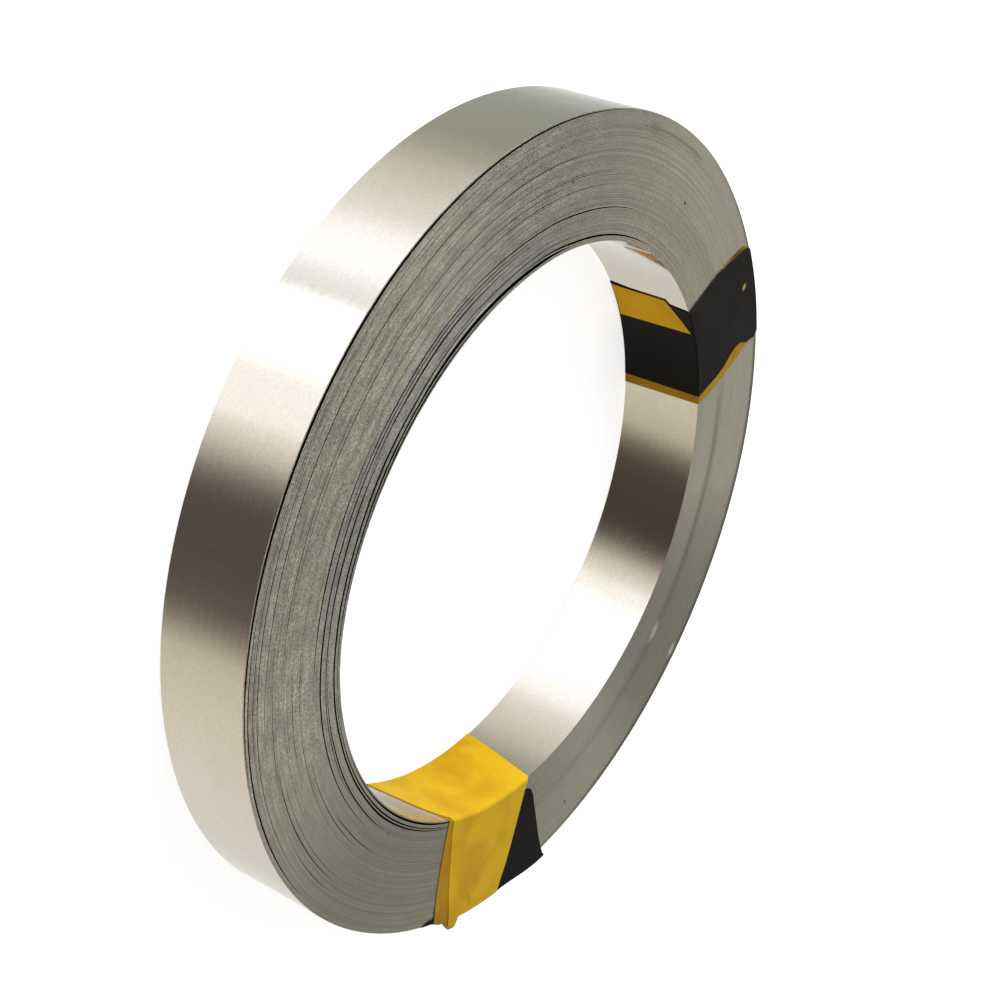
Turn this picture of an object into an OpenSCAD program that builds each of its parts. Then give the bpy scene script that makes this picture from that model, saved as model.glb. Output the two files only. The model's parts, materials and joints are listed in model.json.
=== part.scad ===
// Roll of nickel-plated steel strip, held shut by two wraps of yellow and black tape.
// The strip is wound edge to edge on itself, with no core, so the roll is a flat ring.
// It lies on one end: +Z runs up its axis, and the origin is on the axis, level with the
// strip's lower edge. Angles are measured round the roll from +X. All sizes are in millimetres.

/* [Roll] */
// Diameter of the bore, inside the first turn
bore_d = 76.5; // [51:0.5:152]
// Width of the strip, which is the height of the roll as it lies
strip_w = 12; // [6:0.5:40]
// Distance from one tight turn to the next, a hair over the strip's thickness
turn_pitch = 0.21; // [0.16:0.01:0.32]
// Number of turns in the roll
turns = 74; // [20:1:90]

/* [Turns on the ends] */
// Number of tight turns between one groove in the ends and the next
turns_per_groove = 5; // [3:1:12]
// How far the rounding of the slit edges reaches, across a turn and down its faces
edge_round = 0.06; // [0.04:0.01:0.08]
// Number of turns next to the bore that have sprung loose
loose_inner_turns = 4; // [0:1:6]
// Depth of the open gap seen beside a loose turn
gap_depth = 1.2; // [0.5:0.1:2.5]
// Width of the open gap beside a loose inner turn
inner_gap = 0.08; // [0.06:0.01:0.12]
// Width of the open gap under the outermost turn
outer_gap = 0.3; // [0.1:0.05:0.5]

/* [Tape] */
// Thickness of one layer of tape
tape_t = 0.06; // [0.05:0.01:0.1]
// Where the lower wrap's black tape crosses the bore, from and to, in degrees
lower_black_bore = [240, 267];
// Where the lower wrap's black tape crosses the rim, from and to, in degrees
lower_black_rim = [243, 272.5];
// Where the lower wrap's yellow tape crosses the bore, from and to, in degrees
lower_yellow_bore = [237.5, 268.5];
// Where the lower wrap's yellow tape crosses the rim, from and to, in degrees
lower_yellow_rim = [244, 260];
// Where the side wrap's yellow tape crosses the bore, from and to, in degrees
side_yellow_bore = [2.2, 26.8];
// Where the side wrap's yellow tape crosses the rim, from and to, in degrees
side_yellow_rim = [4.3, 23.5];
// Where the side wrap's black tape crosses the bore, from and to, in degrees
side_black_bore = [3.4, 27.4];
// Where the side wrap's black tape crosses the rim, from and to, in degrees
side_black_rim = [4.9, 23];
// Where the side wrap's yellow tape ends, over the black tape in the bore, from and to, in degrees
yellow_end_bore = [19.5, 26.8];
// How far short of the roll's upper end that yellow tape stops
yellow_end_gap = 0.6; // [0.2:0.1:3]

/* [Hidden] */
// Facets of a full circle
$fn = 180;

// Radius of the bore
bore_r = bore_d / 2;
// How far a tape's outline runs past the tape itself, inside the bore and outside the rim
outline_margin = 2;

// Radius of the inner face of a turn, counting turns from 0 at the bore
function turn_r(turn) =
    bore_r + turn * turn_pitch
    + min(turn, loose_inner_turns) * inner_gap
    + (turn > turns - 2 ? outer_gap : 0);

// Radius of the roll, over its outermost turn
roll_r = turn_r(turns - 1) + turn_pitch;

// First turn of each ring on the ends: every loose turn, groups of tight ones, and the outermost
ring_starts = concat(
    [for (turn = [0 : 1 : loose_inner_turns - 1]) turn],
    [for (turn = [loose_inner_turns : turns_per_groove : turns - 2]) turn],
    [turns - 1]
);
last_ring = len(ring_starts) - 1;

// Open gap on the outer side of a ring
function gap_after(ring) =
    ring < loose_inner_turns ? inner_gap : ring == last_ring - 1 ? outer_gap : 0;

// Points across one ring's upper edge and down into the gap beyond it, as [radius, height]
function ring_edge(ring) =
    let (
        inner = turn_r(ring_starts[ring]),
        gap = gap_after(ring),
        outer = ring == last_ring ? roll_r : turn_r(ring_starts[ring + 1]) - gap
    )
    [
        [inner, strip_w - edge_round],
        [inner + edge_round, strip_w],
        [outer - edge_round, strip_w],
        if (gap > 0) each [
            [outer, strip_w - edge_round],
            [outer, strip_w - gap_depth],
            [outer + gap, strip_w - gap_depth],
        ],
        if (ring == last_ring) [outer, strip_w - edge_round],
    ];

// A point at a radius and an angle, in the plan of the roll
function polar(radius, angle) = [radius * cos(angle), radius * sin(angle)];

// The wound strip: one turned ring, whose two ends show its turns as grooves and open gaps
module strip_coil() {
    upper = [for (ring = [0 : last_ring]) each ring_edge(ring)];
    lower = [for (i = [len(upper) - 1 : -1 : 0]) [upper[i].x, strip_w - upper[i].y]];
    color([0.62, 0.60, 0.56])
        rotate_extrude()
            polygon(concat(upper, lower));
}

// The space between two distances out from the roll's faces, as a closed skin all round it
module skin(inside, outside) {
    rotate_extrude()
        difference() {
            translate([bore_r - outside, -outside])
                square([roll_r - bore_r + 2 * outside, strip_w + 2 * outside]);
            translate([bore_r - inside, -inside])
                square([roll_r - bore_r + 2 * inside, strip_w + 2 * inside]);
        }
}

// The sector of the roll's plan that lies between two lines, each of which crosses the bore and
// the rim at the given angles
module sector(bore_angles, rim_angles, height) {
    reach = outline_margin / (roll_r - bore_r);
    swing = (rim_angles - bore_angles) * reach;
    linear_extrude(height)
        polygon([
            polar(bore_r - outline_margin, bore_angles[0] - swing[0]),
            polar(roll_r + outline_margin, rim_angles[0] + swing[0]),
            polar(roll_r + outline_margin, rim_angles[1] + swing[1]),
            polar(bore_r - outline_margin, bore_angles[1] - swing[1]),
        ]);
}

// A band of tape round the ring's section, in the given layer, counting from 0 at the strip
module tape_wrap(bore_angles, rim_angles, layer) {
    intersection() {
        skin(layer * tape_t, (layer + 1) * tape_t);
        translate([0, 0, -outline_margin])
            sector(bore_angles, rim_angles, strip_w + 2 * outline_margin);
    }
}

// The lower wrap's first tape, mostly hidden under the yellow one
module lower_black_tape() {
    color([0.10, 0.10, 0.10])
        tape_wrap(lower_black_bore, lower_black_rim, 0);
}

// The lower wrap's second tape
module lower_yellow_tape() {
    color([0.92, 0.74, 0.10])
        tape_wrap(lower_yellow_bore, lower_yellow_rim, 1);
}

// The side wrap's first tape. It starts next to the strip, and it ends in the bore, where its last
// stretch lies over the black tape. The run that joins the two is hidden, so they are two solids.
module side_yellow_tape() {
    color([0.92, 0.74, 0.10]) {
        tape_wrap(side_yellow_bore, side_yellow_rim, 0);
        intersection() {
            skin(2 * tape_t, 3 * tape_t);
            cylinder(r = bore_r, h = strip_w - yellow_end_gap);
            sector(yellow_end_bore, yellow_end_bore, strip_w);
        }
    }
}

// The side wrap's second tape
module side_black_tape() {
    color([0.10, 0.10, 0.10])
        tape_wrap(side_black_bore, side_black_rim, 1);
}

strip_coil();
lower_black_tape();
lower_yellow_tape();
side_yellow_tape();
side_black_tape();
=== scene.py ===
"""Looks of a roll of nickel-plated steel strip, held shut by two wraps of yellow and black tape.

The roll lies flat on one end. The strip is one long ribbon, swept by Geometry Nodes along the path
that it is wound on, and each tape is a thin closed band that follows the roll's section.
Lengths below are in millimetres, and angles in degrees round the roll, from +X.
"""

import json
import math

import bmesh
import bpy
import numpy as np
from mathutils import Matrix, Vector


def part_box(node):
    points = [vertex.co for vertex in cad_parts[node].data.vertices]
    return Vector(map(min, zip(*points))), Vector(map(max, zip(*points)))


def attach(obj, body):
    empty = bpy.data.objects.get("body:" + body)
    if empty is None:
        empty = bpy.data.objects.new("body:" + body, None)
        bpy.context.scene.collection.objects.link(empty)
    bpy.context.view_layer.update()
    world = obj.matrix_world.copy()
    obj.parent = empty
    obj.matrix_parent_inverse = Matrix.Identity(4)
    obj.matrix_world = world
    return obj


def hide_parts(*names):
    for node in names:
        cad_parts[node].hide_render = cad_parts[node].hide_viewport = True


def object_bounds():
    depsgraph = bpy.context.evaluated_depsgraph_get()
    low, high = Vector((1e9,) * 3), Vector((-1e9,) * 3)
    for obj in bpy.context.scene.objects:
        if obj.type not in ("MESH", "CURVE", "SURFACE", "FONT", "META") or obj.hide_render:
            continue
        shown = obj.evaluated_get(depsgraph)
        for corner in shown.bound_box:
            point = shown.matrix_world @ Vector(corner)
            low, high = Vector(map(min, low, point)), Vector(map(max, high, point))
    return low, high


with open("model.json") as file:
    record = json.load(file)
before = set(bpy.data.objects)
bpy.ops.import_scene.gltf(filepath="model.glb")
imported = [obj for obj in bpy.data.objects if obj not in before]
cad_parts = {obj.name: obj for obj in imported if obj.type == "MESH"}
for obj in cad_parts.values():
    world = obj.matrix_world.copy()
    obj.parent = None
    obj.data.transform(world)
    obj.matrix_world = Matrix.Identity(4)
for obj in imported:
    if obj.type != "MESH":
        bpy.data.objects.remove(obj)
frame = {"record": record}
cad_low, cad_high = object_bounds()

MM = 0.001
coil_low, coil_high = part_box("strip_coil")
STRIP_W = (coil_high.z - coil_low.z) / MM
RIM_R = coil_high.x / MM
BORE_R = frame["record"]["mounts"][0]["dims"]["r_mm"]
FLOOR_Z = cad_low.z

# ---------------------------------------------------------------- the winding

TURNS = 74
# Points of the path on each turn
STEPS = 150
STRIP_T = 0.188
EDGE_ROUND = 0.011
# The angle at which each turn ends, and the share of a turn over which it climbs on either side of that
SEAM = 250
CLIMB = 0.03
# How far a turn's edges wander up or down, and the most that the wander reaches, as a multiple of that
WANDER = 0.018
WANDER_PEAK = 1.5
# The turn that lies on the outline between the loose inner turns and the outer ones
MIDDLE_TURN = 31

# How far the bore's outline lies outside the plain bore, as (angle, distance)
BORE_OUTLINE = [
    (25, -0.05), (60, -0.2), (75, -0.46), (85, -0.72), (95, -1.08), (105, -1.31), (113, -1.41), (122, -1.41),
    (132, -1.28), (140, -1.06), (150, -0.66), (160, -0.26), (168, 0.02), (176, 0.22), (190, 0.27),
    (205, 0.24), (220, 0.27), (235, 0.38), (250, 0.4), (270, 0.2), (300, 0.05), (345, 0.0),
]
# Distance of the middle turn from the axis, as (angle, distance)
MIDDLE_OUTLINE = [
    (0, 45.35), (40, 45.25), (65, 44.98), (85, 44.75), (100, 44.7), (110, 44.69), (125, 44.74), (140, 44.9),
    (150, 45.05), (165, 45.2), (180, 45.28), (195, 45.32), (215, 45.32), (240, 45.4), (270, 45.5),
    (300, 45.5), (330, 45.48),
]
# How far the rim's outline lies inside the plain rim, as (angle, distance)
RIM_OUTLINE = [
    (2, 0.27), (15, 0.45), (25, 0.62), (35, 0.7), (50, 0.62), (65, 0.55), (80, 0.5), (95, 0.41), (110, 0.3),
    (122, 0.19), (135, 0.19), (150, 0.2), (165, 0.22), (180, 0.3), (195, 0.48), (210, 0.68), (225, 0.74),
    (240, 0.5), (255, 0.3), (270, 0.2), (290, 0.06), (315, 0.0), (335, 0.0), (350, 0.08),
]
# Where turns stand apart: (distance from the axis, first angle, widest angle, last angle, widest gap)
OPENINGS = [
    (37.36, 98, 130, 152, 0.32), (37.7, 81, 101, 128, 0.54), (38.1, 106, 147, 190, 0.42),
    (38.48, 53, 77, 98, 0.24), (38.78, 103, 146, 186, 0.34), (38.8, 190, 227, 247, 0.27),
    (38.98, 78, 103, 124, 0.14), (39.22, 170, 205, 245, 0.22), (39.56, 158, 192, 245, 0.3),
    (39.65, 80, 95, 104, 0.09), (40.34, 98, 121, 143, 0.35), (40.35, 137, 156, 182, 0.38),
    (40.72, 171, 200, 219, 0.24), (40.89, 168, 186, 203, 0.15), (41, 90, 118, 140, 0.12),
    (41.55, 130, 164, 184, 0.27), (41.56, 92, 125, 158, 0.22), (41.73, 62, 93, 119, 0.21),
    (41.89, 164, 179, 213, 0.26), (42.08, 86, 94, 99, 0.08),
    (42.71, 135, 159, 177, 0.31), (43.2, 117, 127, 134, 0.08), (43.64, 92, 104, 114, 0.07),
    (43.8, 202, 209, 219, 0.13), (44.27, 82, 96, 104, 0.07), (44.4, 187, 203, 213, 0.12),
    (44.66, 72, 104, 135, 0.13), (45.1, 110, 160, 208, 0.13), (45.28, 99, 107, 114, 0.06),
    (45.64, 80, 103, 128, 0.11), (46.04, 118, 125, 131, 0.08), (46.24, 70, 92, 110, 0.1),
    (46.36, 169, 177, 189, 0.09), (47.28, 82, 115, 168, 0.07), (47.56, 178, 186, 198, 0.07),
    (47.98, 133, 157, 178, 0.09), (48.7, 182, 203, 214, 0.05), (48.82, 80, 93, 106, 0.11),
    (49.36, 181, 199, 213, 0.13), (49.66, 167, 180, 190, 0.14), (50.62, 80, 130, 188, 0.15),
    (50.72, 198, 206, 213, 0.09), (51.82, 108, 116, 126, 0.06), (51.88, 136, 158, 205, 0.12),
    (52.46, 92, 118, 146, 0.09), (52.58, 145, 173, 182, 0.13), (52.85, 122, 140, 190, 0.09),
    (53.38, 157, 180, 208, 0.26), (53.85, 72, 136, 184, 0.42),
]
# Stretches where the turns lie tight on each other: (first angle, last angle), and the angle over which
# they come loose past either end
TIGHT = [(-85, 64), (208, 282)]
LOOSEN_OVER = 30
LEAST_GAP = 0.002
# The share of the spare room that falls unevenly between the turns
UNEVEN = 0.25


def outline(points, angles):
    """A smooth closed curve through (angle, value) points, read at the given angles."""
    points = sorted((a % 360, v) for a, v in points)
    known = np.array([a for a, _ in points])
    value = np.array([v for _, v in points])
    known = np.concatenate([known[-2:] - 360, known, known[:2] + 360])
    value = np.concatenate([value[-2:], value, value[:2]])
    slope = (value[2:] - value[:-2]) / (known[2:] - known[:-2])
    a = np.mod(angles, 360)
    i = np.clip(np.searchsorted(known, a, side="right") - 1, 1, len(known) - 3)
    span = known[i + 1] - known[i]
    t = (a - known[i]) / span
    m0, m1 = slope[i - 1] * span, slope[i] * span
    return (
        (2 * t**3 - 3 * t**2 + 1) * value[i] + (t**3 - 2 * t**2 + t) * m0
        + (3 * t**2 - 2 * t**3) * value[i + 1] + (t**3 - t**2) * m1
    )


def bore_at(angles):
    """Distance of the bore from the axis."""
    return BORE_R + outline(BORE_OUTLINE, angles)


def middle_at(angles):
    """Distance of the middle turn from the axis."""
    return outline(MIDDLE_OUTLINE, angles)


def rim_at(angles):
    """Distance of the rim from the axis."""
    return RIM_R - outline(RIM_OUTLINE, angles)


def smooth(x):
    """A soft step from 0 to 1."""
    x = np.clip(x, 0, 1)
    return x * x * (3 - 2 * x)


def looseness(angles):
    """0 where the turns lie tight on each other, rising to 1 away from there."""
    free = np.ones(len(angles))
    for first, last in TIGHT:
        middle, half = (first + last) / 2, (last - first) / 2
        away = np.abs((angles - middle + 180) % 360 - 180) - half
        free *= smooth(away / LOOSEN_OVER)
    return free


def opening(angles, first, widest, last):
    """How far open a gap is, from 0 at its two ends to 1 where it is widest."""
    along = np.minimum((angles - first) / (widest - first), (last - angles) / (last - widest))
    return np.sin(math.pi / 2 * np.clip(along, 0, 1)) ** 0.8


def fill_zone(angles, start, end, turns, openings, rng):
    """Shares the room between two outlines out among a number of turns. Returns each turn's inner face."""
    room = end - start - turns * STRIP_T
    opened = [width * opening(angles, first, widest, last) for _, first, widest, last, width in openings]
    spare = room - LEAST_GAP * turns
    squeeze = np.minimum(1, spare / np.maximum(sum(opened), 1e-6))
    opened = [gap * squeeze for gap in opened]
    slack = (room - sum(opened)) / turns
    gaps = np.zeros((turns, len(angles)))
    for (radius, _, widest, _, _), gap in zip(openings, opened):
        i = np.abs(angles - widest).argmin()
        under = start[i] + np.arange(1, turns + 1) * (STRIP_T + slack[i]) + np.cumsum(gaps[:, i]) - gaps[:, i]
        gaps[np.abs(under + gap[i] / 2 - radius).argmin()] += gap
    phase = rng.uniform(0, 2 * math.pi, (3, turns, 1))
    rate = rng.uniform(1.0, 4.0, (3, turns, 1))
    wave = np.sin(np.radians(angles)[None, None] * rate + phase).sum(0)
    weight = np.maximum(wave - 0.5, 0) ** 2
    uneven = UNEVEN * looseness(angles) * (slack - LEAST_GAP) * turns
    gaps += uneven * weight / weight.sum(0) + slack - uneven / turns
    return start + np.arange(turns)[:, None] * STRIP_T + np.cumsum(gaps, 0) - gaps, gaps


def winding_path():
    """The middle line of the strip from its inner end to its outer end, as points in metres."""
    rng = np.random.default_rng(7)
    angles = SEAM - 360 + np.arange(STEPS) * 360 / STEPS
    bore, middle, rim = bore_at(angles), middle_at(angles), rim_at(angles)
    inner = [gap for gap in OPENINGS if gap[0] < middle[np.abs(angles - gap[2]).argmin()]]
    outer = [gap for gap in OPENINGS if gap not in inner]
    parts = [
        fill_zone(angles, bore, middle, MIDDLE_TURN, inner, rng),
        fill_zone(angles, middle, rim, TURNS - MIDDLE_TURN, outer, rng),
    ]
    face = np.concatenate([part[0] for part in parts])
    gaps = np.concatenate([part[1] for part in parts])
    part = np.arange(STEPS)[None] / STEPS
    climb = (smooth((part - 1 + CLIMB) / CLIMB) - 1 + smooth(part / CLIMB)) / 2
    pitch = STRIP_T + np.where(part < 0.5, np.concatenate([gaps[:1], gaps[:-1]]), gaps)
    radius = (face + STRIP_T / 2 + climb * pitch).ravel()
    wound = (np.arange(TURNS)[:, None] + part).ravel()
    drift = np.sin(wound * 2.9) * np.sin(wound * 7.3 + 1) + 0.5 * np.sin(wound * 17.1)
    height = STRIP_W / 2 + WANDER * drift * (0.1 + 0.9 * np.tile(looseness(angles), TURNS))
    turned = np.radians(SEAM + wound * 360)
    return np.stack([radius * np.cos(turned), radius * np.sin(turned), height], 1) * MM


# ---------------------------------------------------------------- node trees

def add(tree, kind, inputs=None, **settings):
    """Adds a node, with its settings, its input values and the sockets that feed it."""
    made = tree.nodes.new(kind)
    for key, value in settings.items():
        setattr(made, key, value)
    for key, value in (inputs or {}).items():
        if isinstance(value, bpy.types.NodeSocket):
            tree.links.new(value, made.inputs[key])
        else:
            made.inputs[key].default_value = value
    return made


def math_node(tree, operation, a, b=0.0, c=0.0):
    """Adds a Math node on up to three values."""
    return add(tree, "ShaderNodeMath", {0: a, 1: b, 2: c}, operation=operation).outputs[0]


def strip_sweep(face, edge):
    """Geometry Nodes tree that sweeps the strip's section, with rounded slit edges, along its path."""
    tree = bpy.data.node_groups.new("strip_sweep", "GeometryNodeTree")
    tree.interface.new_socket("Path", in_out="INPUT", socket_type="NodeSocketGeometry")
    for name in ("Strip thickness", "Strip width", "Edge rounding"):
        tree.interface.new_socket(name, in_out="INPUT", socket_type="NodeSocketFloat")
    tree.interface.new_socket("Strip", in_out="OUTPUT", socket_type="NodeSocketGeometry")
    given = tree.nodes.new("NodeGroupInput").outputs
    made = tree.nodes.new("NodeGroupOutput")
    level = add(tree, "GeometryNodeSetCurveNormal", {"Curve": given["Path"]}, mode="Z_UP").outputs[0]
    run = add(tree, "GeometryNodeSplineParameter").outputs["Length"]
    named = add(
        tree, "GeometryNodeStoreNamedAttribute",
        {"Geometry": level, "Name": "run", "Value": run}, data_type="FLOAT", domain="POINT",
    ).outputs[0]
    oblong = add(
        tree, "GeometryNodeCurvePrimitiveQuadrilateral",
        {"Width": given["Strip thickness"], "Height": given["Strip width"]}, mode="RECTANGLE",
    ).outputs[0]
    section = add(
        tree, "GeometryNodeFilletCurve",
        {"Curve": oblong, "Count": 1, "Radius": given["Edge rounding"]}, mode="POLY",
    ).outputs[0]
    swept = add(
        tree, "GeometryNodeCurveToMesh", {"Curve": named, "Profile Curve": section, "Fill Caps": True}
    ).outputs[0]
    bend = add(tree, "GeometryNodeInputMeshEdgeAngle").outputs[0]
    crease = math_node(tree, "LESS_THAN", bend, math.radians(30))
    smoothed = add(
        tree, "GeometryNodeSetShadeSmooth", {"Geometry": swept, "Shade Smooth": crease}, domain="EDGE"
    ).outputs[0]
    faced = add(tree, "GeometryNodeSetMaterial", {"Geometry": smoothed, "Material": face}).outputs[0]
    tilt = add(tree, "ShaderNodeSeparateXYZ", {0: add(tree, "GeometryNodeInputNormal").outputs[0]}).outputs[2]
    on_end = math_node(tree, "GREATER_THAN", math_node(tree, "ABSOLUTE", tilt), 0.3)
    edged = add(
        tree, "GeometryNodeSetMaterial", {"Geometry": faced, "Selection": on_end, "Material": edge}
    ).outputs[0]
    real = add(tree, "GeometryNodeRealizeInstances", {"Geometry": edged}).outputs[0]
    tree.links.new(real, made.inputs[0])
    return tree


def wound_strip(face, edge):
    """The whole strip as one closed ribbon."""
    points = winding_path()
    curve = bpy.data.curves.new("winding_path", "CURVE")
    curve.dimensions = "3D"
    spline = curve.splines.new("POLY")
    spline.points.add(len(points) - 1)
    spline.points.foreach_set("co", np.concatenate([points, np.ones((len(points), 1))], 1).ravel())
    path = bpy.data.objects.new("winding_path", curve)
    bpy.context.scene.collection.objects.link(path)
    sweep = path.modifiers.new("sweep", "NODES")
    sweep.node_group = strip_sweep(face, edge)
    sizes = {
        "Strip thickness": STRIP_T * MM,
        "Strip width": STRIP_W * MM - 2 * WANDER * WANDER_PEAK * MM,
        "Edge rounding": EDGE_ROUND * MM,
    }
    for item in sweep.node_group.interface.items_tree:
        if item.name in sizes:
            sweep[item.identifier] = sizes[item.name]
    swept = path.evaluated_get(bpy.context.evaluated_depsgraph_get())
    mesh = bpy.data.meshes.new_from_object(swept)
    path.modifiers.remove(sweep)
    bpy.data.objects.remove(path)
    piece = bpy.data.objects.new("wound_strip", mesh)
    bpy.context.scene.collection.objects.link(piece)
    return piece


# ---------------------------------------------------------------- tapes

TAPE_T = 0.055
# From one layer to the next, from the strip to the lowest layer, and the least inside radius of a fold
LAYER = 0.06
CLEAR = 0.01
FOLD = 0.07
# The share of their height that the layers keep under the roll, where its weight presses them
PRESSED_FLAT = 0.6
# Stations round the roll's section: 0 bore's foot, 1 bore's top, 2 rim's top, 3 rim's foot, 4 the start.
# Rows of points along each side, and the finer rows on either side of a fold: their number, how they
# crowd towards it, and how far they reach on a side that lies on the roll's end and on one that doesn't
STATION_STEPS = {0: 14, 1: 60, 2: 14, 3: 20}
FOLD_STEPS = 8
FOLD_CROWDING = 1.5
FOLD_REACH_END = 0.075
FOLD_REACH_WALL = 0.08
# How far along the stations a soft fold bulges
BULGE = 0.1
# How many degrees from the lowest layer's edge the layers settle onto the strip, and until which station
SETTLE_OVER = 1.8
SETTLE_UNTIL = 1.8


def stations(first, last):
    """Stations at which a tape that runs from one to the other has its rows of points."""
    rows = [first, last]
    for side in range(4):
        rows += [side + i / STATION_STEPS[side] for i in range(STATION_STEPS[side])]
    for corner in range(5):
        for k in range(-FOLD_STEPS, FOLD_STEPS + 1):
            on_end = (k > 0) == (corner % 2 == 1)
            reach = FOLD_REACH_END if on_end else FOLD_REACH_WALL
            rows.append(corner + math.copysign(abs(k / FOLD_STEPS) ** FOLD_CROWDING, k) * reach)
    return np.unique(np.round([s for s in rows if first <= s <= last], 5))


def tape_surface(near, far, layer, rows, columns, lift, cut, stand, crease, soft, foot):
    """Grid of points over one face of a tape, a row for each station.

    near and far are its two edges, as (station, angle). layer counts the layers from the strip up, and lift
    is how far the face lies above its layer's foot. cut is the share of its run that a slanting end leaves
    along the far edge. stand says how far it stands off the rim, crease how high it is creased, and soft how
    full its top folds are. foot is the lowest layer's near edge, where the layers settle onto the strip.
    """
    share = np.linspace(0, 1, columns)[None]
    station = rows[:, None] * (1 + (cut - 1) * share)
    near_angle = np.interp(station, *zip(*near))
    far_angle = np.interp(station, *zip(*far))
    angle = near_angle + (far_angle - near_angle) * share
    top_fold = np.exp(-(((station - 1) / BULGE) ** 2)) + np.exp(-(((station - 2) / BULGE) ** 2))
    out = CLEAR + layer * LAYER + lift + 0.25 * soft * top_fold
    if foot:
        settled = 1 - smooth((angle - np.interp(station, *zip(*foot))) / SETTLE_OVER)
        out = out - LAYER * settled * (1 - smooth((station - SETTLE_UNTIL) / 0.1))
    side = np.floor(station).astype(int) % 4
    along = station - np.floor(station)
    inner = bore_at(angle) - out
    outer = rim_at(angle) + out + (stand(angle, station) if stand else 0)
    low, high = -PRESSED_FLAT * out, STRIP_W + out
    radius = np.choose(side, [inner, inner + (outer - inner) * along, outer, outer + (inner - outer) * along])
    height = np.choose(side, [low + (high - low) * along, high, high + (low - high) * along, low])
    radius, height = fold_round(radius, height, inner, outer, low, high, FOLD + out + soft * top_fold)
    if crease:
        height = height + crease(angle, radius) * smooth((height - STRIP_W + 0.4) / 0.4)
    turned = np.radians(angle)
    return np.stack([radius * np.cos(turned), radius * np.sin(turned), height], -1) * MM


def fold_round(radius, height, inner, outer, low, high, fold):
    """Rounds the corners of the path that a tape takes round the section."""
    middle_r = np.clip(radius, inner + fold, outer - fold)
    middle_z = np.clip(height, low + fold, high - fold)
    dr, dz = radius - middle_r, height - middle_z
    both = np.maximum(np.hypot(dr, dz), 1e-9)
    share = np.where((np.abs(dr) > 1e-9) & (np.abs(dz) > 1e-9), np.minimum(1.0, fold / both), 1.0)
    return middle_r + dr * share, middle_z + dz * share


def tape_mesh(
    near, far, layer, first=0, last=4, columns=26, cut=1.0, stand=None, crease=None, soft=0.0, foot=None,
    look=0,
):
    """A thin closed band of tape, as (points, faces, look). Stations 0 to 4 take it all the way round."""
    whole = last - first == 4
    rows = stations(first, last)
    if whole:
        rows = rows[:-1]
    shape = (cut, stand, crease, soft, foot)
    under = tape_surface(near, far, layer, rows, columns, 0, *shape)
    over = tape_surface(near, far, layer, rows, columns, TAPE_T, *shape)
    count = len(rows)

    def at(face, row, column):
        """Number of a point on the under face, 0, or the upper one, 1."""
        return face * count * columns + (row % count) * columns + column

    faces = []
    for i in range(count if whole else count - 1):
        for j in range(columns - 1):
            faces.append((at(1, i, j), at(1, i + 1, j), at(1, i + 1, j + 1), at(1, i, j + 1)))
            faces.append((at(0, i, j), at(0, i, j + 1), at(0, i + 1, j + 1), at(0, i + 1, j)))
        faces.append((at(0, i, 0), at(0, i + 1, 0), at(1, i + 1, 0), at(1, i, 0)))
        k = columns - 1
        faces.append((at(0, i, k), at(1, i, k), at(1, i + 1, k), at(0, i + 1, k)))
    if not whole:
        for j in range(columns - 1):
            faces.append((at(0, 0, j), at(1, 0, j), at(1, 0, j + 1), at(0, 0, j + 1)))
            k = count - 1
            faces.append((at(0, k, j), at(0, k, j + 1), at(1, k, j + 1), at(1, k, j)))
    points = np.concatenate([under.reshape(-1, 3), over.reshape(-1, 3)])
    return points.tolist(), faces, look


def tape_piece(name, bands, materials):
    """One piece made of a tape's bands, with its faces turned outwards."""
    points, faces, looks = [], [], []
    for band_points, band_faces, look in bands:
        start = len(points)
        points += band_points
        faces += [tuple(start + i for i in face) for face in band_faces]
        looks += [look] * len(band_faces)
    mesh = bpy.data.meshes.new(name)
    mesh.from_pydata(points, [], faces)
    for material in materials:
        mesh.materials.append(material)
    mesh.polygons.foreach_set("material_index", looks)
    built = bmesh.new()
    built.from_mesh(mesh)
    bmesh.ops.recalc_face_normals(built, faces=built.faces)
    built.to_mesh(mesh)
    built.free()
    mesh.shade_smooth()
    mesh.set_sharp_from_angle(angle=math.radians(40))
    piece = bpy.data.objects.new(name, mesh)
    bpy.context.scene.collection.objects.link(piece)
    return piece


# Where the lower tapes come off the rim: (angle, over how many degrees, how far)
SKIRT = [(244, 2.5, 0.5), (249, 4, 0.1), (261, 11, 1.2)]
# The pinched nub in the yellow tape: where it starts, over how many degrees it rises and falls, how far it
# stands out, and where it ends in the lower layer and in the upper one
NUB_START = 247.3
NUB_RISE = 1.8
NUB_FALL = 0.7
NUB_OUT = 1.5
NUB_END_UNDER = 249.2
NUB_END_OVER = 250


def lower_skirt(angle, station):
    """How far the lower tapes hang loose off the rim, below its top edge."""
    skirt = sum(how_far * smooth((angle - start) / over) for start, over, how_far in SKIRT)
    return skirt * (1 - smooth((station - 2) / 0.9)) * (station < 3)


def pinched_skirt(end):
    """The loose skirt with a pinched nub at the top edge, which runs on to an angle."""

    def stand(angle, station):
        """How far the tape stands off the rim at an angle and a station."""
        nub = smooth((angle - NUB_START) / NUB_RISE) * (1 - smooth((angle - end) / NUB_FALL))
        near_top = 1 - smooth((np.abs(station - 2) - 0.01) / 0.24)
        return lower_skirt(angle, station) + NUB_OUT * nub * near_top

    return stand


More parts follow.
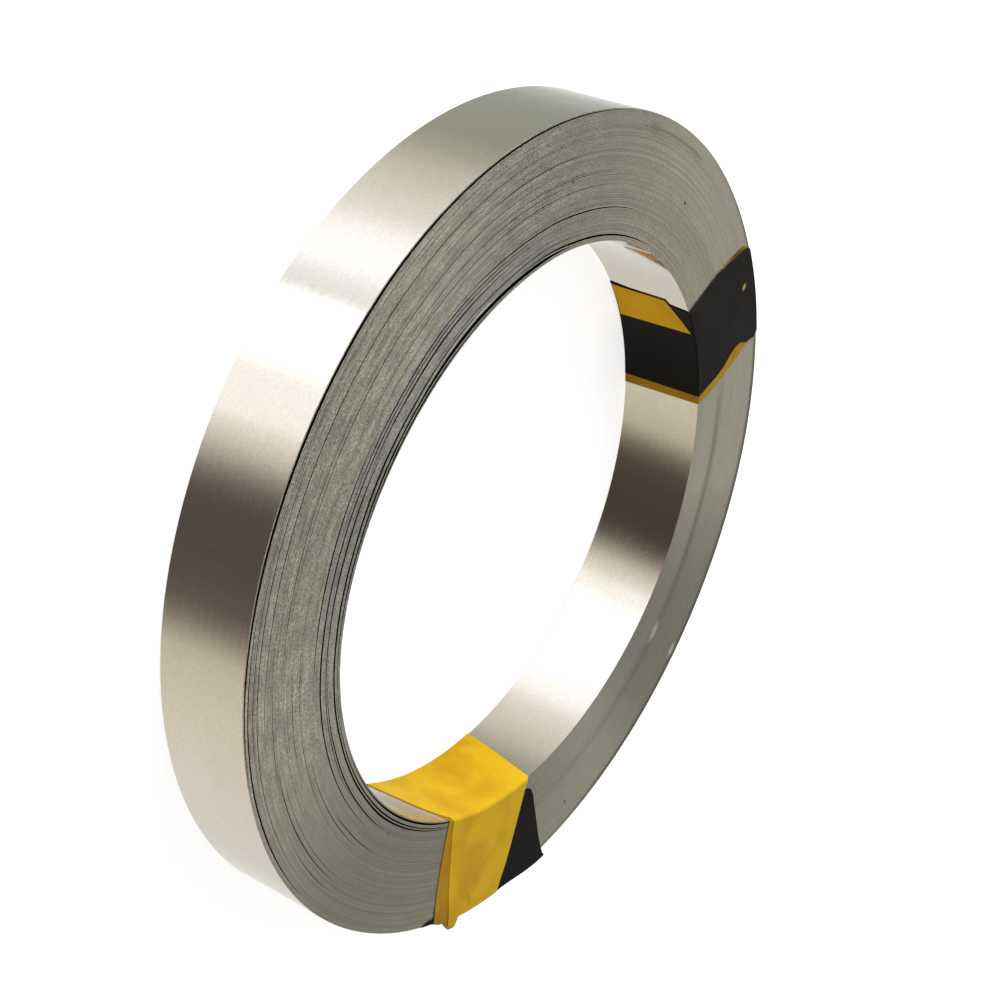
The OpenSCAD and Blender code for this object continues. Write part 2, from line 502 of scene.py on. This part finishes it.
def lower_black_tape(black):
    """The lower wrap's black tape, which shows past the yellow one as a wedge."""
    near = [
        (0, 242), (1, 242), (1.3, 243), (1.7, 245.2), (1.93, 245.6), (1.962, 242.4), (2, 241.4), (2.2, 242),
        (3, 243), (4, 242),
    ]
    far = [
        (0, 268), (1, 264), (1.08, 264.6), (1.11, 266.6), (1.15, 268.1), (1.22, 268.9), (1.5, 270),
        (1.75, 270.8), (1.93, 271.6), (2, 272.2), (3, 272), (4, 268),
    ]
    return tape_piece("lower_black_wrap", [tape_mesh(near, far, 0, columns=60, stand=lower_skirt)], [black])


def lower_yellow_tape(single, double):
    """The lower wrap's yellow tape, in two layers, with a small crease near the rim in the upper one."""
    near = [
        (0, 236.3), (0.17, 236.6), (0.57, 237.9), (1, 240), (1.3, 241.2), (1.65, 242.8), (2, 244.5),
        (3, 244.5), (4, 236.3),
    ]
    near_over = [
        (0, 236.4), (0.17, 236.7), (0.57, 238), (0.85, 239.6), (1, 241), (1.3, 243.4), (1.65, 245.9),
        (2, 248.4), (3, 249), (4, 236.4),
    ]
    far = [
        (0, 270.6), (0.3, 269.8), (0.52, 268.9), (1, 267), (1.12, 265.8), (1.3, 264.5), (1.5, 263.2),
        (1.75, 261.7), (2, 259.8), (3, 260), (4, 270.6),
    ]
    far_over = [(station, angle - 0.1) for station, angle in far]

    def crease(angle, radius):
        """Height of a small ridge that runs out towards the rim at a slant."""
        across = (angle - 252.4) - 0.5 * (radius - 52)
        return 0.14 * np.exp(-((across / 0.45) ** 2)) * np.exp(-(((radius - 51.9) / 1.1) ** 2))

    bands = [
        tape_mesh(near, far, 1, columns=60, stand=pinched_skirt(NUB_END_UNDER), foot=near, look=0),
        tape_mesh(
            near_over, far_over, 2, columns=90, stand=pinched_skirt(NUB_END_OVER), crease=crease,
            soft=0.25, foot=near, look=1,
        ),
    ]
    return tape_piece("lower_yellow_wrap", bands, [single, double])


def side_yellow_tape(single, double):
    """The side wrap's yellow tape, with its end as a second layer in the bore over the black tape."""
    near = [
        (0, 1.5), (1, 1.9), (1.2, 2.5), (1.45, 3.9), (1.7, 5.3), (1.85, 6.2), (2, 6.9), (3, 5), (4, 1.5),
    ]
    far = [
        (0, 29), (1, 26), (1.5, 25.4), (1.62, 25.6), (1.75, 25.1), (1.92, 24.3), (2, 22.5), (3, 23.4),
        (4, 29),
    ]
    end_near = [(0, 19.6), (1, 20.3)]
    end_far = [(0, 28.7), (1, 28.6)]
    bands = [
        tape_mesh(near, far, 0, look=0),
        tape_mesh(end_near, end_far, 2, first=0.03, last=0.955, cut=0.74, look=1),
    ]
    return tape_piece("side_yellow_wrap", bands, [single, double])


def side_black_tape(black):
    """The side wrap's black tape, between the yellow one and its end."""
    near = [
        (0, 3.6), (1, 3.8), (1.3, 4.9), (1.42, 5.6), (1.55, 7), (1.62, 7.4), (1.7, 7.4), (1.8, 6.4),
        (1.93, 6.1), (2, 6.9), (3, 6), (4, 3.6),
    ]
    far = [
        (0, 29.4), (1, 26.8), (1.5, 25.9), (1.65, 25.2), (1.72, 24.6), (1.9, 23.8), (1.97, 23.2), (2, 22.2),
        (3, 22.8), (4, 29.4),
    ]
    return tape_piece("side_black_wrap", [tape_mesh(near, far, 1, columns=40)], [black])


# ---------------------------------------------------------------- materials

# Colours of the plated faces
PLATE_DEEP = (0.60, 0.57, 0.52, 1)
PLATE_PALE = (0.75, 0.71, 0.655, 1)
PLATE_SMUDGED = (0.60, 0.555, 0.48, 1)
# Painted reflection of the yellow tape: a tan tint on the plate in the bore
PLATE_TAPE_REFLECTION = (0.6, 0.49, 0.34, 1)
# A rougher patch in the bore, tinted beige as a painted reflection
PLATE_BEIGE_REFLECTION = (0.5, 0.425, 0.335, 1)
# Colours of the slit edges
SLIT_DEEP = (0.455, 0.44, 0.372, 1)
SLIT_PALE = (0.605, 0.585, 0.5, 1)
SLIT_EVEN = (0.53, 0.512, 0.436, 1)
SLIT_BARE = (0.45, 0.45, 0.44, 1)
SLIT_PITTED = (0.16, 0.145, 0.12, 1)
SLIT_SHADED = (0.2, 0.19, 0.155, 1)
SLIT_DARK_AT_RIM = (0.13, 0.13, 0.11, 1)
SLIT_BRIGHT = (1.0, 0.97, 0.85, 1)
SLIT_GRUBBY = (0.3, 0.27, 0.22, 1)
# Painted highlight: colour of the bright glints on the slit edges
SLIT_GLINT = (0.95, 0.93, 0.86, 1)
# Marks, as distance from the axis, angle, height, half length and half width: a rougher patch with a painted
# beige reflection and a painted reflection of the yellow tape on the plate in the bore, and a grubby patch
# and painted highlights on the slit edges
ROUGH_REFLECTION_PATCH = (BORE_R, 231.5, 6.5, 9, 7)
TAPE_REFLECTION_SPOT = (BORE_R, 49.5, 10.6, 4.5, 4.5)
GRUBBY = (52.2, 63.3, STRIP_W, 1.5, 2.6)
# Painted highlights: bright glints on the slit edges
PAINTED_GLINTS = [(44.3, -48, STRIP_W, 1.2, 2.4), (52.9, -48.5, STRIP_W, 0.8, 1.8)]
# Painted light and shade on the slit edges round the roll: (angle, brightness)
PAINTED_LIGHT_ROUND = [
    (0, 1.52), (37, 1.44), (50, 1.06), (61, 0.94), (73, 0.81), (85, 0.78), (97, 0.7), (109, 0.75),
    (121, 0.88), (133, 0.91), (146, 0.8), (158, 0.82), (170, 0.9), (182, 0.96), (194, 0.86), (206, 0.71),
    (218, 0.62), (232, 0.66), (262, 0.7), (278, 0.74), (289, 0.86), (300, 0.54), (315, 0.52), (326, 0.6),
    (338, 0.84), (350, 1.28),
]


def new_material(name):
    """A material with an empty node tree."""
    material = bpy.data.materials.new(name)
    material.use_nodes = True
    material.node_tree.nodes.clear()
    return material, material.node_tree


def coordinates(tree):
    """Places on the piece, in metres."""
    return add(tree, "ShaderNodeTexCoord").outputs["Object"]


def stretched(tree, x, y, z):
    """Three values as one vector or grey."""
    return add(tree, "ShaderNodeCombineXYZ", {0: x, 1: y, 2: z}).outputs[0]


def noise(tree, where, scale, detail=2.0, **more):
    """A cloudy pattern."""
    inputs = {"Vector": where, "Scale": scale, "Detail": detail}
    inputs.update({key.replace("_", " ").title(): value for key, value in more.items()})
    return add(tree, "ShaderNodeTexNoise", inputs).outputs["Fac"]


def spread(tree, value, low, high, to_low=0.0, to_high=1.0):
    """Carries a value smoothly from one range to another."""
    return add(
        tree, "ShaderNodeMapRange",
        {"Value": value, "From Min": low, "From Max": high, "To Min": to_low, "To Max": to_high},
        interpolation_type="SMOOTHSTEP",
    ).outputs[0]


def blend(tree, share, first, second, mode="MIX"):
    """The first colour with a share of the second."""
    return add(
        tree, "ShaderNodeMix", {"Factor": share, 6: first, 7: second}, data_type="RGBA", blend_type=mode
    ).outputs[2]


def spot(tree, radius, angle, height, length, width, tilt=0.0):
    """An oval mark on the roll, 1 in its middle and fading to 0 at its border.

    Its middle is at a distance from the axis, an angle and a height. Its length and width are half of the
    oval's, the length across the turns and upwards, and the width along them.
    """
    turned = math.radians(angle)
    centre = (radius * math.cos(turned) * MM, radius * math.sin(turned) * MM, height * MM)
    placed = add(
        tree, "ShaderNodeMapping", {
            "Vector": coordinates(tree), "Location": centre, "Rotation": (0, 0, turned + math.radians(tilt)),
            "Scale": (length * MM, width * MM, length * MM),
        }, vector_type="TEXTURE",
    ).outputs[0]
    away = add(tree, "ShaderNodeVectorMath", {0: placed}, operation="LENGTH").outputs["Value"]
    return spread(tree, away, 1.0, 0.1)


def plated_face():
    """Satin nickel plate on the strip's two wide faces, with fine lines rolled in along the strip."""
    material, tree = new_material("plated_face")
    run = add(tree, "ShaderNodeAttribute", attribute_name="run").outputs["Fac"]
    where = coordinates(tree)
    axis = add(tree, "ShaderNodeSeparateXYZ", {0: where}).outputs
    # Fine lines and a slower drift along the strip, which tip the mirrored room by a hair
    lines = noise(tree, stretched(tree, run, 0.0, math_node(tree, "MULTIPLY", axis["Z"], 22)), 160, 3.0)
    drift = noise(tree, stretched(tree, run, 0.0, math_node(tree, "MULTIPLY", axis["Z"], 2.5)), 22, 2.0)
    grain = noise(tree, where, 2600, 2.0)
    smudge = spread(tree, noise(tree, where, 55, 3.0, distortion=0.6), 0.54, 0.72)
    lean = math_node(tree, "MULTIPLY_ADD", lines, 0.022, -0.011)
    sway = math_node(tree, "MULTIPLY_ADD", drift, 0.016, -0.008)
    onward = add(
        tree, "ShaderNodeVectorMath",
        {0: stretched(tree, math_node(tree, "MULTIPLY", axis["Y"], -1), axis["X"], 0.0)},
        operation="NORMALIZE",
    ).outputs[0]
    tipped = add(
        tree, "ShaderNodeVectorMath",
        {0: onward, "Scale": math_node(tree, "ADD", lean, sway)}, operation="SCALE",
    ).outputs[0]
    normal = add(
        tree, "ShaderNodeVectorMath",
        {0: add(tree, "ShaderNodeNewGeometry").outputs["Normal"], 1: tipped}, operation="ADD",
    ).outputs[0]
    normal = add(tree, "ShaderNodeVectorMath", {0: normal}, operation="NORMALIZE").outputs[0]
    relief = add(
        tree, "ShaderNodeBump", {"Height": grain, "Strength": 1.0, "Distance": 0.0018 * MM, "Normal": normal}
    ).outputs[0]
    rough = math_node(tree, "MULTIPLY_ADD", lines, 0.06, 0.07)
    rough = math_node(tree, "MULTIPLY_ADD", smudge, 0.06, rough)
    # A rougher patch beside the lower tape, whose beige tint is a painted reflection
    rough_and_reflected = spot(tree, *ROUGH_REFLECTION_PATCH)
    rough = math_node(tree, "MULTIPLY_ADD", rough_and_reflected, 0.25, rough)
    tone = blend(tree, grain, PLATE_DEEP, PLATE_PALE)
    tone = blend(tree, math_node(tree, "MULTIPLY", smudge, 0.25), tone, PLATE_SMUDGED)
    # Painted reflection: the yellow tape's end, mirrored as a tan tint on the plate in the bore
    painted_reflection = math_node(tree, "MULTIPLY", spot(tree, *TAPE_REFLECTION_SPOT), 0.5)
    tone = blend(tree, painted_reflection, tone, PLATE_TAPE_REFLECTION)
    tone = blend(tree, math_node(tree, "MULTIPLY", rough_and_reflected, 0.9), tone, PLATE_BEIGE_REFLECTION)
    shader = add(
        tree, "ShaderNodeBsdfPrincipled",
        {"Base Color": tone, "Metallic": 1.0, "Roughness": rough, "Normal": relief},
    )
    add(tree, "ShaderNodeOutputMaterial", {"Surface": shader.outputs[0]})
    return material


def round_band(tree, value, middle, half, soft):
    """1 within half of a value's middle, falling to 0 over a soft border."""
    away = math_node(tree, "ABSOLUTE", math_node(tree, "SUBTRACT", value, middle))
    return spread(tree, away, half + soft, half)


def slit_edge():
    """Dull slit edges of the strip, which make up the roll's two ends."""
    material, tree = new_material("slit_edge")
    run = add(tree, "ShaderNodeAttribute", attribute_name="run").outputs["Fac"]
    where = coordinates(tree)
    axis = add(tree, "ShaderNodeSeparateXYZ", {0: where}).outputs
    turn = math_node(tree, "ARCTAN2", axis["Y"], axis["X"])
    share = math_node(tree, "FRACT", math_node(tree, "DIVIDE", turn, 2 * math.pi))
    flat = stretched(tree, axis["X"], axis["Y"], 0.0)
    radius = add(tree, "ShaderNodeVectorMath", {0: flat}, operation="LENGTH").outputs["Value"]
    # Painted light and shade: the slit edges made brighter or darker round the roll
    painted_light = add(tree, "ShaderNodeValToRGB", {"Fac": share})
    ramp = painted_light.color_ramp
    ramp.interpolation = "B_SPLINE"
    for i, (degrees, bright) in enumerate(PAINTED_LIGHT_ROUND):
        stop = ramp.elements[i] if i < 2 else ramp.elements.new(degrees / 360)
        stop.position = degrees / 360
        stop.color = (bright, bright, bright, 1)
    # Streaks along each turn, bands of turns, and grains of three sizes
    streak = noise(tree, stretched(tree, run, 0.0, 0.0), 8, 1.5)
    band = noise(tree, stretched(tree, math_node(tree, "MULTIPLY", radius, 9), share, 0.0), 90, 2.0)
    speckle = noise(tree, where, 2600, 3.0)
    fine = noise(tree, where, 7000, 1.0)
    cloud = noise(tree, where, 130, 3.0)
    tone = blend(tree, spread(tree, streak, 0.3, 0.7), SLIT_DEEP, SLIT_PALE)
    # Where the edges are sharp and worn, and the smoother stretch across the bore from there
    crisp = round_band(tree, share, 0.385, 0.11, 0.08)
    behind = round_band(tree, math_node(tree, "FRACT", math_node(tree, "ADD", share, 0.5)), 0.44, 0.13, 0.07)
    tone = blend(tree, math_node(tree, "MULTIPLY", behind, 0.6), tone, SLIT_EVEN)
    inner = math_node(tree, "MULTIPLY", spread(tree, radius, 43.2 * MM, 41.2 * MM), crisp)
    tone = blend(tree, math_node(tree, "MULTIPLY", inner, 0.7), tone, SLIT_BARE)
    worn = tone
    for pattern, darkest, lightest in ((speckle, 0.8, 1.18), (fine, 0.7, 1.32), (cloud, 0.975, 1.025)):
        level = spread(tree, pattern, 0.28, 0.72, darkest, lightest)
        worn = blend(tree, 1.0, worn, stretched(tree, level, level, level), "MULTIPLY")
    tone = blend(tree, math_node(tree, "MULTIPLY_ADD", crisp, 0.8, 0.2), tone, worn)
    swing = math_node(tree, "MULTIPLY_ADD", crisp, 0.12, 0.03)
    faint, strong = math_node(tree, "SUBTRACT", 1.0, swing), math_node(tree, "ADD", 1.0, swing)
    level = spread(tree, band, 0.3, 0.7, faint, strong)
    tone = blend(tree, 1.0, tone, stretched(tree, level, level, level), "MULTIPLY")
    # Painted light and shade round the roll
    tone = blend(tree, 1.0, tone, painted_light.outputs[0], "MULTIPLY")
    pits = add(tree, "ShaderNodeTexVoronoi", {"Vector": where, "Scale": 700.0}, distance="EUCLIDEAN")
    chance = add(tree, "ShaderNodeSeparateColor", {0: pits.outputs["Color"]}).outputs[0]
    rare = math_node(tree, "LESS_THAN", chance, 0.016)
    pit = math_node(tree, "MULTIPLY", rare, spread(tree, pits.outputs["Distance"], 0.24, 0.12))
    tone = blend(tree, pit, tone, SLIT_PITTED)
    beside_tape = round_band(tree, share, 0.945, 0.03, 0.045)
    far_side = round_band(tree, share, 0.158, 0.02, 0.012)
    # Rings: stretch round the roll, distance from the axis, half width, soft border, strength, colour
    rings = [
        (beside_tape, 44.2, 0.2, 0.6, 0.4, SLIT_SHADED),
        (far_side, 52.1, 0.06, 0.25, 0.45, SLIT_SHADED),
        # A darker ring along the rim, on the far side of the roll
        (behind, 54.4, 0.6, 0.8, 0.8, SLIT_DARK_AT_RIM),
        (behind, 40.8, 1.6, 1.8, 0.1, SLIT_BRIGHT),
    ]
    for stretch, middle, half, soft, strength, colour in rings:
        across = round_band(tree, radius, middle * MM, half * MM, soft * MM)
        ring = math_node(tree, "MULTIPLY", across, stretch)
        tone = blend(tree, math_node(tree, "MULTIPLY", ring, strength), tone, colour)
    grubby = math_node(tree, "MULTIPLY", spot(tree, *GRUBBY), 0.5)
    tone = blend(tree, grubby, tone, SLIT_GRUBBY)
    # Painted highlights: two bright radial glints on the slit edges, broken into streaks
    along = stretched(tree, math_node(tree, "MULTIPLY", radius, 6), share, 0.0)
    glint_streaks = spread(tree, noise(tree, along, 900), 0.4, 0.65, 0.25, 0.85)
    for mark in PAINTED_GLINTS:
        bright = math_node(tree, "MULTIPLY", spot(tree, *mark), glint_streaks)
        tone = blend(tree, bright, tone, SLIT_GLINT)
    rough = spread(tree, speckle, 0.3, 0.7, 0.42, 0.62)
    depth = math_node(tree, "MULTIPLY_ADD", crisp, 0.006 * MM, 0.0025 * MM)
    relief = add(tree, "ShaderNodeBump", {"Height": speckle, "Strength": 1.0, "Distance": depth}).outputs[0]
    shader = add(
        tree, "ShaderNodeBsdfPrincipled",
        {"Base Color": tone, "Metallic": 1.0, "Roughness": rough, "Normal": relief},
    )
    add(tree, "ShaderNodeOutputMaterial", {"Surface": shader.outputs[0]})
    return material


def tape_film(name, colour, shade, gloss, mark=None, mark_colour=(0.5, 0.33, 0.11)):
    """Plastic tape: a colour with soft cloudy patches of a deeper shade, and fine wrinkles."""
    material, tree = new_material(name)
    where = coordinates(tree)
    cloud = spread(tree, noise(tree, where, 140, 3.0, distortion=0.4), 0.35, 0.7)
    fleck = noise(tree, where, 2200, 2.0)
    tone = blend(tree, cloud, (*colour, 1), (*shade, 1))
    tone = blend(tree, spread(tree, fleck, 0.45, 0.8, 0.0, 0.3), tone, (*shade, 1))
    if mark:
        tone = blend(tree, spot(tree, *mark), tone, (*mark_colour, 1))
    ripple = noise(tree, where, 420, 2.0, distortion=0.8)
    relief = add(
        tree, "ShaderNodeBump", {"Height": ripple, "Strength": 0.6, "Distance": 0.04 * MM}
    ).outputs[0]
    rough = math_node(tree, "MULTIPLY_ADD", fleck, 0.16, 0.36)
    shader = add(
        tree, "ShaderNodeBsdfPrincipled",
        {"Base Color": tone, "Roughness": rough, "Specular IOR Level": gloss, "Normal": relief},
    )
    add(tree, "ShaderNodeOutputMaterial", {"Surface": shader.outputs[0]})
    return material


# ---------------------------------------------------------------- studio

# The camera's place and aim, the way that is up in its picture, and its lens and sensor
CAMERA_PLACE = (-159.74, 131.39, 122.72)
CAMERA_AIM = (-0.2, 3.2, 6.0)
CAMERA_UP = (0.439, 0.839, -0.321)
LENS = 67.26
SENSOR = 36


def studio_camera():
    """A camera that looks down on the roll at a slant."""
    camera = bpy.data.objects.new("camera", bpy.data.cameras.new("camera"))
    bpy.context.scene.collection.objects.link(camera)
    place = Vector(CAMERA_PLACE) * MM
    back = (place - Vector(CAMERA_AIM) * MM).normalized()
    right = Vector(CAMERA_UP).cross(back).normalized()
    up = back.cross(right)
    camera.matrix_world = Matrix.Translation(place) @ Matrix((right, up, back)).transposed().to_4x4()
    camera.data.lens = LENS
    camera.data.sensor_width = SENSOR
    bpy.context.scene.camera = camera


# What the plated faces mirror, round the room: (direction in degrees, colour)
ROOM = [
    (0, (0.55, 0.58, 0.52)), (5, (0.45, 0.475, 0.42)), (13, (0.395, 0.42, 0.36)), (39, (0.4, 0.41, 0.335)),
    (47.5, (0.5, 0.5, 0.41)), (56, (0.735, 0.725, 0.635)), (65, (0.91, 0.895, 0.795)),
    (74, (1.07, 1.06, 0.98)), (82, (1.45, 1.45, 1.45)), (92, (1.6, 1.65, 1.75)), (127, (1.7, 1.75, 1.85)),
    (132, (1.42, 1.41, 1.38)), (136.8, (1.42, 1.39, 1.33)), (138.3, (1.12, 1.07, 0.97)),
    (141.7, (0.98, 0.94, 0.84)), (145.4, (0.765, 0.7, 0.61)), (150, (0.36, 0.335, 0.275)),
    (154.4, (0.15, 0.133, 0.105)), (159, (0.085, 0.072, 0.055)), (167, (0.078, 0.065, 0.049)),
    (180, (0.09, 0.076, 0.057)), (187, (0.12, 0.102, 0.078)), (192.5, (0.235, 0.21, 0.16)),
    (197, (0.45, 0.415, 0.32)), (201.5, (0.68, 0.63, 0.507)), (210, (0.775, 0.725, 0.595)),
    (224, (0.86, 0.81, 0.685)), (246, (0.89, 0.855, 0.78)), (283, (0.81, 0.8, 0.735)),
    (332, (0.97, 0.98, 0.96)), (347, (0.71, 0.73, 0.69)), (357, (0.52, 0.55, 0.5)),
]
# Things low in the room: where each starts, is full, starts to fade and ends, in turns, and its colour
SILL = (0.243, 0.286, 0.286, 0.292, (0.95, 0.93, 0.86, 1))
LEDGE = (0.342, 0.358, 0.386, 0.393, (1.36, 1.33, 1.285, 1))
PAPER = (0.825, 0.856, 0.881, 0.912, (1.6, 1.6, 1.58, 1))
CEILING = (0.55, 0.54, 0.5, 1)
SKY = (0.6, 0.6, 0.6, 1)
WHITE = (1, 1, 1, 1)


def stretch_of(tree, share, start, full, fade, end):
    """1 from full to fade, falling softly to 0 at the start and the end."""
    return math_node(tree, "MULTIPLY", spread(tree, share, start, full), spread(tree, share, end, fade))


def studio_world():
    """A plain pale sky, and for reflections alone a room with a bright window and a dark doorway."""
    world = bpy.data.worlds.new("studio")
    bpy.context.scene.world = world
    world.use_nodes = True
    world.cycles.sampling_method = "NONE"
    tree = world.node_tree
    tree.nodes.clear()
    direction = add(tree, "ShaderNodeTexCoord").outputs["Generated"]
    axis = add(tree, "ShaderNodeSeparateXYZ", {0: direction}).outputs
    turn = math_node(tree, "ARCTAN2", axis["Y"], axis["X"])
    share = math_node(tree, "FRACT", math_node(tree, "DIVIDE", turn, 2 * math.pi))
    tilt = math_node(tree, "MULTIPLY_ADD", axis["Z"], 0.094, 0.047)
    leaning = math_node(tree, "MULTIPLY_ADD", tilt, spread(tree, share, 0.278, 0.361), share)
    room = add(tree, "ShaderNodeValToRGB", {"Fac": math_node(tree, "FRACT", leaning)})
    for i, (degrees, colour) in enumerate(ROOM):
        stop = room.color_ramp.elements[i] if i < 2 else room.color_ramp.elements.new(degrees / 360)
        stop.position = degrees / 360
        stop.color = (*colour, 1)
    near_low = spread(tree, axis["Z"], -0.52, -0.57)
    sill = math_node(
        tree, "MULTIPLY", stretch_of(tree, share, *SILL[:4]), math_node(tree, "MULTIPLY", near_low, 0.74)
    )
    seen = blend(tree, sill, room.outputs[0], SILL[4])
    ledge = math_node(tree, "MULTIPLY", stretch_of(tree, share, *LEDGE[:4]), near_low)
    seen = blend(tree, ledge, seen, LEDGE[4])
    bounce = spread(tree, axis["Z"], -0.5, -0.59, 0.0, 0.035)
    seen = blend(tree, 1.0, seen, stretched(tree, bounce, bounce, bounce), "ADD")
    low_down = spread(tree, axis["Z"], -0.49, -0.505)
    paper = math_node(tree, "MULTIPLY", low_down, stretch_of(tree, share, *PAPER[:4]))
    seen = blend(tree, paper, seen, PAPER[4])
    upward = spread(tree, axis["Z"], -0.3, 0.05)
    seen = blend(tree, upward, seen, CEILING)
    path = add(tree, "ShaderNodeLightPath").outputs
    plain = blend(tree, path["Is Camera Ray"], SKY, WHITE)
    shown = blend(tree, path["Is Glossy Ray"], plain, seen)
    background = add(tree, "ShaderNodeBackground", {"Color": shown, "Strength": 1.0}).outputs[0]
    add(tree, "ShaderNodeOutputWorld", {"Surface": background})


# Half of the floor's side, in metres, and the light that it adds to its own colour for the camera
FLOOR_HALF = 3.0
FLOOR_GLOW = 0.6


def studio_floor():
    """A plain pale floor, white to the camera where no shadow falls."""
    mesh = bpy.data.meshes.new("floor")
    corners = [(x * FLOOR_HALF, y * FLOOR_HALF, FLOOR_Z) for x, y in ((-1, -1), (1, -1), (1, 1), (-1, 1))]
    mesh.from_pydata(corners, [], [(0, 1, 2, 3)])
    floor = bpy.data.objects.new("floor", mesh)
    bpy.context.scene.collection.objects.link(floor)
    material, tree = new_material("pale_floor")
    matte = add(tree, "ShaderNodeBsdfDiffuse", {"Color": (0.8, 0.8, 0.8, 1)}).outputs[0]
    camera_ray = add(tree, "ShaderNodeLightPath").outputs["Is Camera Ray"]
    strength = math_node(tree, "MULTIPLY", camera_ray, FLOOR_GLOW)
    glow = add(tree, "ShaderNodeEmission", {"Strength": strength}).outputs[0]
    both = add(tree, "ShaderNodeAddShader", {0: matte, 1: glow}).outputs[0]
    add(tree, "ShaderNodeOutputMaterial", {"Surface": both})
    mesh.materials.append(material)
    floor.visible_glossy = False


def lamp(name, place, aim, size, power):
    """A soft square lamp at a place, facing a point, both in millimetres."""
    light = bpy.data.lights.new(name, "AREA")
    light.size = size * MM
    light.energy = power
    obj = bpy.data.objects.new(name, light)
    bpy.context.scene.collection.objects.link(obj)
    obj.location = Vector(place) * MM
    obj.rotation_euler = (Vector(aim) - Vector(place)).to_track_quat("-Z", "Y").to_euler()


# ---------------------------------------------------------------- the object

bpy.context.scene.view_settings.view_transform = "Standard"
studio_camera()
studio_world()
studio_floor()
lamp("window", place=(180, 560, 170), aim=(0, 0, 6), size=350, power=4.3)

# Marks on the side tapes: distance from the axis, angle, height, half length, half width, the nick's tilt
NICK = (51.1, 17.2, STRIP_W + 0.1, 0.75, 0.6, 35)
GRIME = (51.0, 25.0, STRIP_W + 0.1, 4.5, 1.8)
# Colour, deeper shade and gloss of each film. What is under a single layer of yellow darkens it.
YELLOW = ((0.645, 0.4, 0.01), (0.52, 0.29, 0.008), 0.06)
# The side wrap's end in the bore takes a lighter copy of the yellow, painted light for the light it lacks
YELLOW_PAINTED_LIGHTER = ((0.83, 0.45, 0.01), (0.68, 0.36, 0.008), 0.06)
YELLOW_SINGLE = ((0.42, 0.225, 0.008), (0.33, 0.165, 0.006), 0.06)
BLACK = ((0.0055, 0.005, 0.0053), (0.008, 0.0075, 0.0078), 0.035)
BLACK_SIDE = ((0.007, 0.0063, 0.006), (0.0105, 0.0098, 0.009), 0.05)

face, edge = plated_face(), slit_edge()
yellow = tape_film("yellow_film", *YELLOW)
# A lighter copy of the yellow film, painted light
yellow_painted_lighter = tape_film("yellow_film_side", *YELLOW_PAINTED_LIGHTER)
single = tape_film("yellow_film_single", *YELLOW_SINGLE)
grimy = tape_film("yellow_film_grimy", *YELLOW_SINGLE, mark=GRIME, mark_colour=(0.09, 0.05, 0.006))
black = tape_film("black_film", *BLACK)
nicked = tape_film("black_film_nicked", *BLACK_SIDE, mark=NICK)

pieces = [
    (wound_strip(face, edge), "strip_coil", "plated_strip"),
    (lower_black_tape(black), "lower_black_tape", "black_tape"),
    (lower_yellow_tape(single, yellow), "lower_yellow_tape", "yellow_tape"),
    (side_yellow_tape(grimy, yellow_painted_lighter), "side_yellow_tape", "yellow_tape"),
    (side_black_tape(nicked), "side_black_tape", "black_tape"),
]
for piece, node, slot in pieces:
    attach(piece, "root")
    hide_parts(node)
